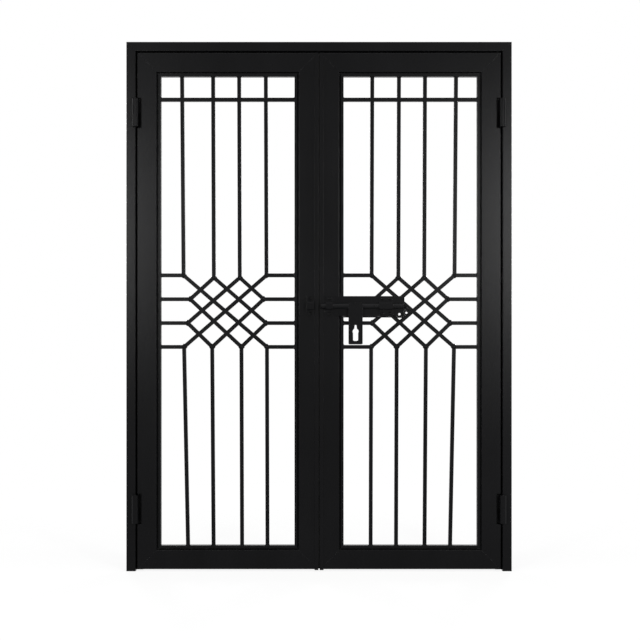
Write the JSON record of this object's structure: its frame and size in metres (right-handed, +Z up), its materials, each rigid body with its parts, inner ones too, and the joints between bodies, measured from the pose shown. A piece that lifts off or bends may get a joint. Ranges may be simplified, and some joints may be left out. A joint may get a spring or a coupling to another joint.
{
  "type": "double security grille door",
  "caption": "Double-leaf steel security grille door with a hand-bent diamond lattice, hung on barrel hinges in its own frame, with a slide bolt and padlock plate.",
  "frame": {"origin": "middle of the left post's closed foot, at floor level", "axes": "+X along the doorway from the left post to the right post, +Y through the doorway away from the front, +Z up"},
  "size_m": [1.5, 0.094, 2.06],
  "materials": {
    "black_coat": "satin black powder coat",
    "lock_coat": "satin black powder coat, rubbed where it is handled",
    "bolt_steel": "black coat worn by sliding"
  },
  "bodies": {
    "frame": {"left_post": "black_coat", "right_post": "black_coat", "head_rail": "black_coat", "left_stop": "black_coat", "right_stop": "black_coat", "head_stop": "black_coat", "left_lower_hinge_pin_half": "black_coat", "left_upper_hinge_pin_half": "black_coat", "right_lower_hinge_pin_half": "black_coat", "right_upper_hinge_pin_half": "black_coat"},
    "left_leaf": {"left_hinge_stile": "black_coat", "left_top_rail": "black_coat", "left_meeting_stile": "black_coat", "left_bottom_rail": "black_coat", "left_meeting_strip": "black_coat", "left_grille": "black_coat", "left_lower_hinge_socket_half": "black_coat", "left_upper_hinge_socket_half": "black_coat", "keeper_plate": "lock_coat", "keeper": "lock_coat"},
    "right_leaf": {"right_hinge_stile": "black_coat", "right_top_rail": "black_coat", "right_meeting_stile": "black_coat", "right_bottom_rail": "black_coat", "right_meeting_strip": "black_coat", "right_grille": "black_coat", "right_lower_hinge_socket_half": "black_coat", "right_upper_hinge_socket_half": "black_coat", "lock_back_plate": "lock_coat", "front_guide": "lock_coat", "rear_guide": "lock_coat"},
    "bolt": {"bolt_rod": "bolt_steel", "hasp_tongue": "lock_coat"}
  },
  "joints": [
    {"name": "left_leaf_hinge", "type": "hinge", "parent": "frame", "child": "left_leaf", "pos_m": [0.018, -0.0435, 0], "axis": [0, 0, -1], "range_deg": [0, 110]},
    {"name": "right_leaf_hinge", "type": "hinge", "parent": "frame", "child": "right_leaf", "pos_m": [1.446, -0.0435, 0], "axis": [0, 0, 1], "range_deg": [0, 110]},
    {"name": "bolt_slide", "type": "slide", "parent": "right_leaf", "child": "bolt", "axis": [1, 0, 0], "range_m": [-0.048, 0]}
  ]
}
